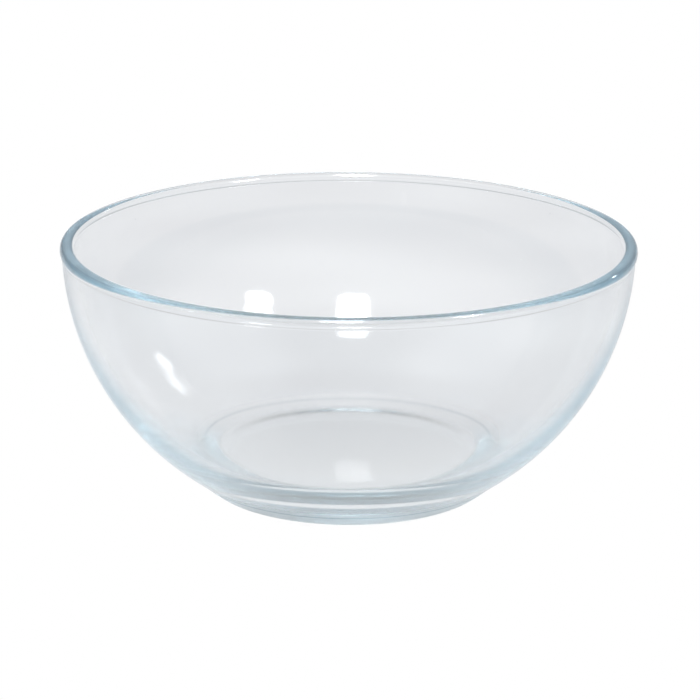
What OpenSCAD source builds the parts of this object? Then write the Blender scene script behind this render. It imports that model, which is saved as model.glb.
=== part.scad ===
// Clear pressed-glass prep bowl: a deep round bowl with a rounded rim and a low foot.
// Millimetres, +Z up, origin at the centre of the resting plane.

/* [Bowl] */
// Outside diameter across the rim
bowl_diameter = 205; // [185:1:230]
// Height from the resting plane to the top of the rim
bowl_height = 90; // [80:1:104]

/* [Rim] */
// Thickness of the rim
rim_thickness = 5; // [4.4:0.1:6]
// How far the rim stands proud of the wall outside
rim_step = 0.6; // [0.4:0.05:0.9]
// How far the rim stands proud of the wall inside
inner_rim_step = 0.1; // [0.05:0.05:0.3]
// Width of the oval that rounds each edge of the rim
rim_edge_width = 2.6; // [2:0.1:3.4]
// Height of the oval that rounds each edge of the rim
rim_edge_height = 3.8; // [3.2:0.1:4.6]

/* [Wall] */
// Thickness of the wall where it turns into the base
heel_thickness = 6.3; // [5.6:0.1:7.4]

/* [Base] */
// Height of the inside floor above the resting plane
floor_height = 12; // [9:0.5:14]
// Radius of the curve between the inside floor and the wall
floor_curve = 42; // [30:1:54]
// Outside diameter of the flat resting ring
foot_diameter = 99; // [92:1:106]
// Radius of the slightly bulging side of the foot
foot_round = 60; // [50:1:70]
// How far the foot stands out from the line of the wall at the resting plane
foot_lip = 2.4; // [1.6:0.1:3.2]
// Width of the flat resting ring
resting_width = 3.5; // [2.5:0.1:5]
// Depth of the shallow recess inside the resting ring
recess_depth = 0.3; // [0.2:0.05:0.6]
// Width of the sloping side of the recess
recess_ramp = 3; // [2:0.1:4]

/* [Hidden] */
$fn = 180;

// Rim: two rounded edges, and between them a flat that lies a hair below their tops
flat_drop = 0.015;
outer_edge_r = (bowl_diameter - rim_edge_width) / 2;
inner_edge_r = bowl_diameter / 2 - rim_thickness + rim_edge_width / 2;
edge_z = bowl_height - rim_edge_height / 2;

// Outside of the wall: one arc, upright at the rim, aimed at the foot
wall_outer_r = bowl_diameter / 2 - rim_step;
wall_base_r = foot_diameter / 2 - foot_lip;
wall_reach = wall_outer_r - wall_base_r;
outer_arc = (wall_reach * wall_reach + bowl_height * bowl_height) / (2 * wall_reach);
outer_centre_r = wall_outer_r - outer_arc;

// Inside of the wall: a tighter arc, so that the glass thickens towards the heel,
// where the wall slopes 4 down for every 3 across
heel_cosine = 0.6;
wall_thickness = rim_thickness - rim_step - inner_rim_step;
arc_shift = (heel_thickness - wall_thickness) / (1 - heel_cosine);
inner_arc = outer_arc - wall_thickness - arc_shift;
wall_inner_r = wall_outer_r - wall_thickness;
inner_centre_r = wall_inner_r - inner_arc;

// Curve between the floor and the wall. It runs a hair past both, so that the lines cross
curve_overlap = 0.015;
curve_centre_z = floor_height + floor_curve;
curve_offset = inner_arc - floor_curve;
curve_drop = bowl_height - curve_centre_z;
curve_centre_r = inner_centre_r + sqrt(curve_offset * curve_offset - curve_drop * curve_drop);
curve_direction = [curve_centre_r - inner_centre_r, -curve_drop] / curve_offset;

// Foot: a sloping side that leaves the resting plane at this angle
foot_break = 34;
foot_centre_r = foot_diameter / 2 - foot_round * sin(foot_break);
foot_centre_z = foot_round * cos(foot_break);
recess_r = foot_diameter / 2 - resting_width;

// Longer than any line across the bowl
far = 4 * bowl_diameter;

module disc_at(r, z, radius) {
    translate([r, z]) circle(r = radius);
}

// Everything inside the outer skin, up to the middle of the rim's edges
module outer_profile() {
    intersection() {
        square([far, edge_z]);
        union() {
            disc_at(outer_centre_r, bowl_height, outer_arc);
            disc_at(foot_centre_r, foot_centre_z, foot_round);
        }
    }
}

// The hollow: flat floor, floor curve and wall
module hollow_profile() {
    inner_centre = [inner_centre_r, bowl_height];
    translate([0, floor_height]) square([curve_centre_r, bowl_height]);
    disc_at(curve_centre_r, curve_centre_z, floor_curve + curve_overlap);
    intersection() {
        disc_at(inner_centre_r, bowl_height, inner_arc);
        polygon([inner_centre, inner_centre + far * curve_direction, [far, bowl_height - far], [far, bowl_height]]);
    }
}

// The shallow recess inside the resting ring, with a sloping side
module recess_profile() {
    polygon([[0, -recess_depth], [recess_r + recess_ramp, -recess_depth],
             [recess_r - recess_ramp, recess_depth], [0, recess_depth]]);
}

module rim_edge(r) {
    translate([r, edge_z]) scale([rim_edge_width, rim_edge_height]) circle(d = 1);
}

// The rim, rounded along both edges
module rim_profile() {
    rim_edge(outer_edge_r);
    rim_edge(inner_edge_r);
    translate([inner_edge_r, edge_z - rim_edge_height / 2])
        square([outer_edge_r - inner_edge_r, rim_edge_height - flat_drop]);
}

module bowl_profile() {
    difference() {
        outer_profile();
        hollow_profile();
        recess_profile();
    }
    rim_profile();
}

module glass_bowl() {
    color([0.86, 0.91, 0.93, 0.45]) rotate_extrude() bowl_profile();
}

glass_bowl();
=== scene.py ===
"""A clear pressed-glass prep bowl on a white sweep, in soft studio light."""
import math

import bpy
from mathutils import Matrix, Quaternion, Vector


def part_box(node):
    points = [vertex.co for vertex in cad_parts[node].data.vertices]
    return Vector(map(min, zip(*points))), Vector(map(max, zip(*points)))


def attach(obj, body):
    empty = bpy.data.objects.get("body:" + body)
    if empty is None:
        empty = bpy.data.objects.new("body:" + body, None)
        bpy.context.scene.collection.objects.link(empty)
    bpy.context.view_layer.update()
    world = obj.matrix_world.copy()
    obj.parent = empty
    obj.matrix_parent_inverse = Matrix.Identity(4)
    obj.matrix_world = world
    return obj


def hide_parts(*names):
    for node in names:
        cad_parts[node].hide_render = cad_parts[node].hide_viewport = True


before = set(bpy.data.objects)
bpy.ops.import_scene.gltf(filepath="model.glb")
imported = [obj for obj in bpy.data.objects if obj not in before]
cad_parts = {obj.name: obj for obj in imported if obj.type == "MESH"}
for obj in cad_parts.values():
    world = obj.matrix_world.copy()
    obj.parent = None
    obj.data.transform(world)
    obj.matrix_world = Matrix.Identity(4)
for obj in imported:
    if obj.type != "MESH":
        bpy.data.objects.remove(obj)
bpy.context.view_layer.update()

MM = 0.001
WHITE = (1, 1, 1, 1)

# Sizes of the bowl, in millimetres, as in the part's source
bowl_low, bowl_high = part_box("glass_bowl")
bowl_diameter = (bowl_high.x - bowl_low.x) / MM
bowl_height = bowl_high.z / MM
rim_thickness = 5
rim_step = 0.6
inner_rim_step = 0.1
rim_edge_width = 2.6
rim_edge_height = 3.8
heel_thickness = 6.3
floor_height = 12
floor_curve = 42
foot_diameter = 99
foot_round = 60
foot_lip = 2.4
foot_break = math.radians(34)
resting_width = 3.5
recess_depth = 0.3
recess_ramp = 3
heel_cosine = 0.6

# Mesh of the visual bowl, in millimetres: the section is drawn in fine steps, then thinned and turned
fine_step = 0.2
shortest_step = 1e-6
longest_edge = 3.0
sharpest_turn = math.radians(4)
fewest_bend_steps = 4
sectors = 360
halvings = 50

# How far each corner of the section is softened by fire polishing, in millimetres
recess_soft = 0.6
foot_soft = 1.2
junction_soft = 2.0
crease_soft = 0.2
inner_crease_soft = 2.2

# Glass: refraction, and absorption per metre of red, green and blue
glass_ior = 1.52
glass_absorption = (2.6, 1.5, 1.05)

# Surface of the glass: two tints that its waves pass between, and sizes in metres of its waves and its grain
glass_tints = ((0.962, 0.970, 0.978, 1), (0.980, 0.984, 0.987, 1))
wave_length, wave_height, wave_detail = 0.03, 0.00003, 1.0
grain_length, grain_height, grain_detail = 0.002, 0.000001, 2.0

# Roughness of the polished glass, and the range of the grain over which it changes
glass_roughness = (0.04, 0.065)
grain_range = (0.3, 0.7)

# Duller foot and heel: roughness, then in millimetres its start beside the foot's edge and where it fades
foot_roughness = 0.3
dull_start = (-1.5, 0.5)
dull_heights = (6.5, 10)

# Rare tiny seeds in the glass, in metres
seed_spacing, seed_radius = 0.015, 0.0003
seed_tint = (0.55, 0.58, 0.60, 1)

# Painted shade: a thin grey line round the foot where it meets the wall, in millimetres: its height, and the
# distances over which its tint fades
junction_shade_height = 4.7
junction_shade_fade = (0.1, 0.45)
junction_shade_tint = (0.40, 0.46, 0.50, 1)

# Floor sweep: size and gap under the bowl in metres, size of its uneven patches and their two tones
sweep_size = 12.0
sweep_gap = 0.0002
sweep_patch = 0.16
sweep_detail = 1.0
sweep_tones = ((0.35, (0.80, 0.803, 0.82)), (0.65, (0.89, 0.897, 0.91)))

# Room round the bowl: colours by degrees above the horizon, on the camera's side, at the sides and behind
front_tones = (
    (0, (0.28, 0.36, 0.43)),
    (6, (0.42, 0.50, 0.56)),
    (12, (0.72, 0.77, 0.81)),
    (18, (1.00, 1.03, 1.06)),
    (26, (1.22, 1.24, 1.26)),
    (42, (1.22, 1.23, 1.24)),
    (55, (0.50, 0.51, 0.52)),
    (90, (0.28, 0.29, 0.30)),
)
side_tones = (
    (0, (0.50, 0.58, 0.64)),
    (10, (0.62, 0.70, 0.75)),
    (22, (1.20, 1.22, 1.24)),
    (65, (1.20, 1.21, 1.22)),
    (80, (0.50, 0.51, 0.52)),
    (90, (0.28, 0.29, 0.30)),
)
back_tones = (
    (0, (0.58, 0.59, 0.60)),
    (15, (0.55, 0.545, 0.545)),
    (25, (0.48, 0.44, 0.41)),
    (55, (0.36, 0.32, 0.30)),
    (90, (0.27, 0.25, 0.24)),
)
# Where the room passes from one set of tones to the next: -1 is towards the camera, 1 straight behind
front_to_side = (-0.8, -0.2)
side_to_back = (0.2, 0.8)

# Light panels: distance in metres, and the share of each panel that is fully bright
panel_reach = 1.6
panel_core = 0.3

# Camera: angles in degrees, distance and aim in metres, sensor and lens in millimetres
camera_elevation = 16.85
camera_roll = 0.3
camera_reach = 1.150
camera_aim = Vector((0.0006, 0, 0.0490))
camera_sensor = 36
camera_lens = 164.6

# Light that enters the rim or the heel bounces along inside the wall many times
light_bounces = 200


# The bowl's half section
def on_arc(centre, radius, angle):
    return (centre[0] + radius * math.cos(angle), centre[1] + radius * math.sin(angle))


def arc(centre, radii, start, end):
    """Points along an arc or oval arc, from one angle to another, about fine_step apart."""
    length = abs(end - start) * max(radii)
    count = max(2, math.ceil(length / fine_step))
    angles = [start + (end - start) * i / count for i in range(count + 1)]
    return [(centre[0] + radii[0] * math.cos(a), centre[1] + radii[1] * math.sin(a)) for a in angles]


def line(start, end):
    """Points along a straight line, about fine_step apart."""
    count = max(1, math.ceil(math.dist(start, end) / fine_step))
    return [tuple(p + (q - p) * i / count for p, q in zip(start, end)) for i in range(count + 1)]


def crossing(inside, low, high):
    """The value between low and high where the test inside(value) stops being true."""
    for _ in range(halvings):
        middle = (low + high) / 2
        if inside(middle):
            low = middle
        else:
            high = middle
    return low


def half_section():
    """The glass in section, from the axis under the base, round the outside and back along the floor."""
    edge_radii = (rim_edge_width / 2, rim_edge_height / 2)
    edge_z = bowl_height - edge_radii[1]
    outer_edge = (bowl_diameter / 2 - edge_radii[0], edge_z)
    inner_edge = (bowl_diameter / 2 - rim_thickness + edge_radii[0], edge_z)

    wall_outer = bowl_diameter / 2 - rim_step
    reach = wall_outer - (foot_diameter / 2 - foot_lip)
    outer_arc = (reach ** 2 + bowl_height ** 2) / (2 * reach)
    outer_centre = (wall_outer - outer_arc, bowl_height)

    wall_thickness = rim_thickness - rim_step - inner_rim_step
    inner_arc = outer_arc - wall_thickness - (heel_thickness - wall_thickness) / (1 - heel_cosine)
    inner_centre = (wall_outer - wall_thickness - inner_arc, bowl_height)
    curve_drop = bowl_height - floor_height - floor_curve
    curve_angle = -math.asin(curve_drop / (inner_arc - floor_curve))
    curve_centre = (
        inner_centre[0] + (inner_arc - floor_curve) * math.cos(curve_angle),
        floor_height + floor_curve,
    )

    foot_centre = (
        foot_diameter / 2 - foot_round * math.sin(foot_break),
        foot_round * math.cos(foot_break),
    )

    def outside_wall(angle):
        return math.dist(on_arc(foot_centre, foot_round, angle), outer_centre) >= outer_arc

    def edge_place(point, edge):
        """The point as seen from the middle of a rim edge, in units of that oval's two radii."""
        return ((point[0] - edge[0]) / edge_radii[0], (point[1] - edge[1]) / edge_radii[1])

    def edge_angle(point, edge):
        across, up = edge_place(point, edge)
        return math.atan2(up, across)

    def below_edge(centre, radius, edge):
        """The test whether an angle on the wall's arc is still outside the rim's rounded edge."""
        return lambda angle: math.hypot(*edge_place(on_arc(centre, radius, angle), edge)) >= 1

    foot_start = foot_break - math.pi / 2
    inside_the_wall = math.pi / 3
    foot_end = crossing(outside_wall, foot_start, inside_the_wall)
    junction = on_arc(foot_centre, foot_round, foot_end)
    wall_start = math.atan2(junction[1] - outer_centre[1], junction[0] - outer_centre[0])
    edge_level = (edge_z - bowl_height) / outer_arc
    wall_end = crossing(below_edge(outer_centre, outer_arc, outer_edge), wall_start, edge_level)
    rim_start = edge_angle(on_arc(outer_centre, outer_arc, wall_end), outer_edge)
    inner_start = crossing(below_edge(inner_centre, inner_arc, inner_edge), curve_angle, edge_level)
    rim_end = edge_angle(on_arc(inner_centre, inner_arc, inner_start), inner_edge) + 2 * math.pi

    recess_edge = (foot_diameter / 2 - resting_width, 0)
    recess_corner = (recess_edge[0] - recess_ramp, recess_depth)
    runs = [
        line((0, recess_depth), recess_corner),
        line(recess_corner, recess_edge),
        line(recess_edge, (foot_diameter / 2, 0)),
        arc(foot_centre, (foot_round, foot_round), foot_start, foot_end),
        arc(outer_centre, (outer_arc, outer_arc), wall_start, wall_end),
        arc(outer_edge, edge_radii, rim_start, math.pi / 2)
        + line((outer_edge[0], bowl_height), (inner_edge[0], bowl_height))
        + arc(inner_edge, edge_radii, math.pi / 2, rim_end),
        arc(inner_centre, (inner_arc, inner_arc), inner_start, curve_angle)
        + arc(curve_centre, (floor_curve, floor_curve), curve_angle, -math.pi / 2)
        + line((curve_centre[0], floor_height), (0, floor_height)),
    ]
    reaches = [recess_soft, recess_soft, foot_soft, junction_soft, crease_soft, inner_crease_soft]
    return softened(runs, reaches)


def softened(runs, reaches):
    """The runs as one line, with each corner between two runs rounded off within its reach."""
    points = runs[0]
    for run, reach in zip(runs[1:], reaches):
        corner = Vector(run[0])
        before = [p for p in points if math.dist(p, corner) > reach]
        after = [p for p in run if math.dist(p, corner) > reach]
        start, end = Vector(before[-1]), Vector(after[0])
        count = max(fewest_bend_steps, math.ceil(2 * reach / fine_step))
        shares = [i / count for i in range(1, count)]
        bend = [tuple((1 - t) ** 2 * start + 2 * t * (1 - t) * corner + t * t * end) for t in shares]
        points = before + bend + after
    return points


def thinned(points):
    """The points that the shape needs: closer together where the section turns."""
    kept = [points[0]]
    turned = 0.0
    for before, here, after in zip(points, points[1:], points[2:]):
        into = Vector(here) - Vector(before)
        out = Vector(after) - Vector(here)
        if into.length > shortest_step and out.length > shortest_step:
            turned += abs(into.angle_signed(out))
        if turned >= sharpest_turn or math.dist(here, kept[-1]) >= longest_edge:
            kept.append(here)
            turned = 0.0
    return kept + [points[-1]]


def revolved(name, points):
    """A closed mesh of the section turned about the Z axis. Its first and last points are on the axis."""
    rings = points[1:-1]
    turn = 2 * math.pi / sectors
    verts = [(0, 0, points[0][1] * MM)]
    for r, z in rings:
        verts += [(r * MM * math.cos(turn * k), r * MM * math.sin(turn * k), z * MM) for k in range(sectors)]
    verts.append((0, 0, points[-1][1] * MM))
    last = len(verts) - 1

    def at(ring, sector):
        return 1 + ring * sectors + sector % sectors

    faces = []
    for k in range(sectors):
        faces.append((0, at(0, k + 1), at(0, k)))
        for ring in range(len(rings) - 1):
            faces.append((at(ring, k), at(ring, k + 1), at(ring + 1, k + 1), at(ring + 1, k)))
        faces.append((at(len(rings) - 1, k), at(len(rings) - 1, k + 1), last))
    mesh = bpy.data.meshes.new(name)
    mesh.from_pydata(verts, [], faces)
    mesh.shade_smooth()
    piece = bpy.data.objects.new(name, mesh)
    bpy.context.collection.objects.link(piece)
    return piece


# Node helpers
def node_material(name):
    material = bpy.data.materials.new(name)
    material.use_nodes = True
    material.node_tree.nodes.clear()
    return material, material.node_tree.nodes, material.node_tree.links


def math_node(nodes, links, operation, *sources):
    """The value of a math node whose inputs are sockets or numbers."""
    node = nodes.new("ShaderNodeMath")
    node.operation = operation
    for socket, source in zip(node.inputs, sources):
        if isinstance(source, (int, float)):
            socket.default_value = source
        else:
            links.new(source, socket)
    return node.outputs["Value"]


def smooth_range(nodes, links, source, start, end, low, high):
    """A value that passes smoothly from low to high while the source passes from start to end."""
    node = nodes.new("ShaderNodeMapRange")
    node.interpolation_type = "SMOOTHSTEP"
    for name, value in (("From Min", start), ("From Max", end), ("To Min", low), ("To Max", high)):
        node.inputs[name].default_value = value
    links.new(source, node.inputs["Value"])
    return node.outputs["Result"]


def noise(nodes, links, place, length, detail):
    """Noise whose patches are about this length in metres."""
    node = nodes.new("ShaderNodeTexNoise")
    node.inputs["Scale"].default_value = 1 / length
    node.inputs["Detail"].default_value = detail
    links.new(place, node.inputs["Vector"])
    return node.outputs["Fac"]


def axis_value(nodes, links, vector, axis):
    """One axis of a vector, by its letter."""
    node = nodes.new("ShaderNodeSeparateXYZ")
    links.new(vector, node.inputs["Vector"])
    return node.outputs[axis]


def level_part(nodes, links, vector):
    """The vector without its height."""
    node = nodes.new("ShaderNodeVectorMath")
    node.operation = "MULTIPLY"
    node.inputs[1].default_value = (1, 1, 0)
    links.new(vector, node.inputs[0])
    return node.outputs["Vector"]


def mixed_colour(nodes, links, factor, first, second):
    """A colour from the socket first to the colour second, by the factor."""
    node = nodes.new("ShaderNodeMix")
    node.data_type = "RGBA"
    node.inputs["B"].default_value = second
    links.new(factor, node.inputs["Factor"])
    links.new(first, node.inputs["A"])
    return node.outputs["Result"]


def mixed_shader(nodes, links, factor, first, second):
    node = nodes.new("ShaderNodeMixShader")
    links.new(factor, node.inputs["Fac"])
    links.new(first, node.inputs[1])
    links.new(second, node.inputs[2])
    return node.outputs["Shader"]


def colour_ramp(nodes, links, source, stops):
    """A colour that passes through the stops, each a place from 0 to 1 and its red, green and blue."""
    node = nodes.new("ShaderNodeValToRGB")
    elements = node.color_ramp.elements
    while len(elements) < len(stops):
        elements.new(0.5)
    for element, (position, shade) in zip(elements, stops):
        element.position = position
        element.color = (*shade, 1)
    links.new(source, node.inputs["Fac"])
    return node.outputs["Color"]


def white_to_camera(nodes, links, colour):
    """The colour as the glass sees it. The camera itself sees white."""
    ray = nodes.new("ShaderNodeLightPath")
    return mixed_colour(nodes, links, ray.outputs["Is Camera Ray"], colour, WHITE)


# Glass
def glass_colour(nodes, links, place, waves):
    """Faintly uneven clear glass, with tiny seeds and a thin line of painted shade round the foot where it
    meets the wall.
    """
    tint = nodes.new("ShaderNodeMix")
    tint.data_type = "RGBA"
    tint.inputs["A"].default_value, tint.inputs["B"].default_value = glass_tints
    links.new(waves, tint.inputs["Factor"])

    seeds = nodes.new("ShaderNodeTexVoronoi")
    seeds.inputs["Scale"].default_value = 1 / seed_spacing
    links.new(place, seeds.inputs["Vector"])
    edge = seed_radius / seed_spacing
    in_seed = smooth_range(nodes, links, seeds.outputs["Distance"], edge / 2, edge, 1, 0)
    seeded = mixed_colour(nodes, links, in_seed, tint.outputs["Result"], seed_tint)

    # Painted shade: a grey line in the glass round the foot, at its junction with the wall
    above = math_node(nodes, links, "SUBTRACT", axis_value(nodes, links, place, "Z"), junction_shade_height * MM)
    apart = math_node(nodes, links, "ABSOLUTE", above)
    in_junction_shade = smooth_range(nodes, links, apart, junction_shade_fade[0] * MM, junction_shade_fade[1] * MM, 1, 0)
    return mixed_colour(nodes, links, in_junction_shade, seeded, junction_shade_tint)


def glass_polish(nodes, links, place, grain):
    """Roughness: polished with a fine grain, and dull on the outside of the foot and the heel."""
    polish = smooth_range(nodes, links, grain, *grain_range, *glass_roughness)
    radius = nodes.new("ShaderNodeVectorMath")
    radius.operation = "LENGTH"
    links.new(level_part(nodes, links, place), radius.inputs[0])
    start, end = [(foot_diameter / 2 + offset) * MM for offset in dull_start]
    outside = smooth_range(nodes, links, radius.outputs["Value"], start, end, 0, 1)
    height = axis_value(nodes, links, place, "Z")
    low = smooth_range(nodes, links, height, dull_heights[0] * MM, dull_heights[1] * MM, 1, 0)
    dull = nodes.new("ShaderNodeMix")
    dull.inputs["B"].default_value = foot_roughness
    links.new(math_node(nodes, links, "MULTIPLY", outside, low), dull.inputs["Factor"])
    links.new(polish, dull.inputs["A"])
    return dull.outputs["Result"]


def glass_relief(nodes, links, waves, grain):
    """The normal of a surface with faint pressing waves and a fine grain."""
    broad = math_node(nodes, links, "MULTIPLY", waves, wave_height)
    fine = math_node(nodes, links, "MULTIPLY", grain, grain_height)
    bump = nodes.new("ShaderNodeBump")
    bump.inputs["Distance"].default_value = 1.0
    links.new(math_node(nodes, links, "ADD", broad, fine), bump.inputs["Height"])
    return bump.outputs["Normal"]


def clear_glass():
    """Clear soda-lime glass with the faint waves and grain of a pressed surface."""
    material, nodes, links = node_material("clear_glass")
    output = nodes.new("ShaderNodeOutputMaterial")
    place = nodes.new("ShaderNodeTexCoord").outputs["Object"]
    waves = noise(nodes, links, place, wave_length, wave_detail)
    grain = noise(nodes, links, place, grain_length, grain_detail)
    shader = nodes.new("ShaderNodeBsdfPrincipled")
    shader.inputs["Transmission Weight"].default_value = 1.0
    shader.inputs["IOR"].default_value = glass_ior
    links.new(glass_colour(nodes, links, place, waves), shader.inputs["Base Color"])
    links.new(glass_polish(nodes, links, place, grain), shader.inputs["Roughness"])
    links.new(glass_relief(nodes, links, waves, grain), shader.inputs["Normal"])
    links.new(shader.outputs["BSDF"], output.inputs["Surface"])

    absorption = nodes.new("ShaderNodeVolumeAbsorption")
    strongest = max(glass_absorption)
    absorption.inputs["Color"].default_value = (*[1 - s / strongest for s in glass_absorption], 1)
    absorption.inputs["Density"].default_value = strongest
    links.new(absorption.outputs["Volume"], output.inputs["Volume"])
    return material


# Stage
def white_sweep():
    """A floor that the camera sees as pure white, and clear from below. The glass sees its uneven light."""
    material, nodes, links = node_material("white_sweep")
    output = nodes.new("ShaderNodeOutputMaterial")
    place = nodes.new("ShaderNodeTexCoord").outputs["Object"]
    mottle = noise(nodes, links, place, sweep_patch, sweep_detail)
    tone = colour_ramp(nodes, links, mottle, sweep_tones)
    emission = nodes.new("ShaderNodeEmission")
    links.new(white_to_camera(nodes, links, tone), emission.inputs["Color"])
    underside = nodes.new("ShaderNodeNewGeometry").outputs["Backfacing"]
    clear = nodes.new("ShaderNodeBsdfTransparent").outputs["BSDF"]
    surface = mixed_shader(nodes, links, underside, emission.outputs["Emission"], clear)
    links.new(surface, output.inputs["Surface"])
    return material


def stage_sheet(name, width, height, material):
    """A flat sheet in its own XY plane."""
    x, y = width / 2, height / 2
    mesh = bpy.data.meshes.new(name)
    mesh.from_pydata([(-x, -y, 0), (x, -y, 0), (x, y, 0), (-x, y, 0)], [], [(0, 1, 2, 3)])
    mesh.materials.append(material)
    sheet = bpy.data.objects.new(name, mesh)
    bpy.context.collection.objects.link(sheet)
    return sheet


def floor():
    sheet = stage_sheet("floor", sweep_size, sweep_size, white_sweep())
    sheet.location.z = -sweep_gap


def studio():
    """The room round the sweep, by height, with its own tones in front, at the sides and behind."""
    world = bpy.data.worlds.new("studio")
    bpy.context.scene.world = world
    world.use_nodes = True
    nodes, links = world.node_tree.nodes, world.node_tree.links
    direction = nodes.new("ShaderNodeTexCoord").outputs["Generated"]
    height = axis_value(nodes, links, direction, "Z")
    heading = nodes.new("ShaderNodeVectorMath")
    heading.operation = "NORMALIZE"
    links.new(level_part(nodes, links, direction), heading.inputs[0])
    backward = axis_value(nodes, links, heading.outputs["Vector"], "Y")

    def room_tones(tones):
        stops = [(math.sin(math.radians(degrees)), shade) for degrees, shade in tones]
        return colour_ramp(nodes, links, height, stops)

    colour = room_tones(front_tones)
    for tones, passing in ((side_tones, front_to_side), (back_tones, side_to_back)):
        mix = nodes.new("ShaderNodeMix")
        mix.data_type = "RGBA"
        links.new(smooth_range(nodes, links, backward, *passing, 0, 1), mix.inputs["Factor"])
        links.new(colour, mix.inputs["A"])
        links.new(room_tones(tones), mix.inputs["B"])
        colour = mix.outputs["Result"]
    links.new(white_to_camera(nodes, links, colour), nodes["Background"].inputs["Color"])


def panel_glow(name, brightness, squareness):
    """Light that fades towards the panel's edge. Squareness 2 makes it round, higher values squarer."""
    material, nodes, links = node_material(name)
    output = nodes.new("ShaderNodeOutputMaterial")
    place = nodes.new("ShaderNodeTexCoord").outputs["Generated"]
    powers = []
    for axis in ("X", "Y"):
        offset = math_node(nodes, links, "MULTIPLY_ADD", axis_value(nodes, links, place, axis), 2, -1)
        size = math_node(nodes, links, "ABSOLUTE", offset)
        powers.append(math_node(nodes, links, "POWER", size, squareness))
    total = math_node(nodes, links, "ADD", *powers)
    radius = math_node(nodes, links, "POWER", total, 1 / squareness)
    share = smooth_range(nodes, links, radius, panel_core, 1, 1, 0)
    softer = math_node(nodes, links, "MULTIPLY", share, share)
    emission = nodes.new("ShaderNodeEmission")
    emission.inputs["Strength"].default_value = brightness
    clear = nodes.new("ShaderNodeBsdfTransparent").outputs["BSDF"]
    surface = mixed_shader(nodes, links, softer, clear, emission.outputs["Emission"])
    links.new(surface, output.inputs["Surface"])
    return material


def panel(name, azimuth, elevation, width, height, brightness, squareness, roll=0):
    """A light panel aimed at the bowl, in degrees. Azimuth 0 is the camera's side, 90 the right."""
    a, e = math.radians(azimuth), math.radians(elevation)
    towards = Vector((math.sin(a) * math.cos(e), -math.cos(a) * math.cos(e), math.sin(e)))
    spans = [2 * panel_reach * math.tan(math.radians(angle) / 2) for angle in (width, height)]
    sheet = stage_sheet(name, *spans, panel_glow(name, brightness, squareness))
    sheet.location = towards * panel_reach
    sheet.rotation_mode = "QUATERNION"
    turn = Quaternion((0, 0, 1), math.radians(roll))
    sheet.rotation_quaternion = towards.to_track_quat("Z", "Y") @ turn
    sheet.visible_camera = False


def camera():
    """The camera, at the height and distance that the picture's perspective gives."""
    elevation = math.radians(camera_elevation)
    back = Vector((0, -math.cos(elevation), math.sin(elevation)))
    roll = Quaternion((0, 0, 1), math.radians(camera_roll))
    data = bpy.data.cameras.new("camera")
    data.sensor_width = camera_sensor
    data.lens = camera_lens
    viewer = bpy.data.objects.new("camera", data)
    viewer.location = camera_aim + back * camera_reach
    viewer.rotation_mode = "QUATERNION"
    viewer.rotation_quaternion = (-back).to_track_quat("-Z", "Y") @ roll
    bpy.context.collection.objects.link(viewer)
    bpy.context.scene.camera = viewer


camera()
floor()
studio()
panel("key", azimuth=-3, elevation=52, width=16, height=16.5, brightness=260, squareness=4)
panel("fill", azimuth=52.5, elevation=41, width=15, height=9.5, brightness=120, squareness=2.6, roll=-25)
panel("back", azimuth=133, elevation=24, width=5, height=6.5, brightness=60, squareness=6)

bowl = revolved("bowl_glass", thinned(half_section()))
bowl.data.materials.append(clear_glass())
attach(bowl, "root")
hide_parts("glass_bowl")

scene = bpy.context.scene
scene.view_settings.view_transform = "Standard"
scene.cycles.max_bounces = light_bounces
scene.cycles.transmission_bounces = light_bounces
scene.cycles.glossy_bounces = light_bounces

bpy.context.view_layer.update()
